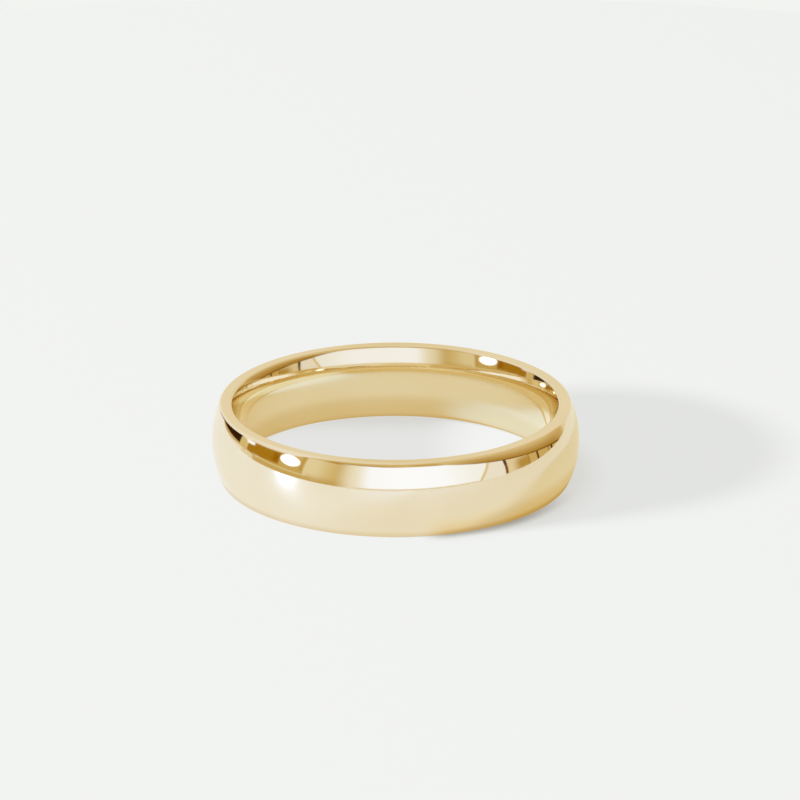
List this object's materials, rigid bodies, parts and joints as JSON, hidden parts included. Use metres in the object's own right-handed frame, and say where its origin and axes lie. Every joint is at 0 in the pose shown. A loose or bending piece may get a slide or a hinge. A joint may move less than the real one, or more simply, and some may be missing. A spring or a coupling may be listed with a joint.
{
  "type": "wedding band",
  "caption": "Plain court-shaped wedding band with a low domed outside, narrow flat rims and a comfort-fit inside, lying flat.",
  "frame": {"origin": "centre of the finger hole in the plane of the lower rim, on the surface that the ring lies on", "axes": "+Z along the finger hole, away from the surface; the ring is the same all round, so +X is any direction across it"},
  "size_m": [0.0214, 0.0214, 0.0045],
  "materials": {
    "yellow_gold": "mirror-polished pale yellow gold with faint polishing lines around the band"
  },
  "bodies": {
    "root": {"band": "yellow_gold"}
  },
  "joints": []
}
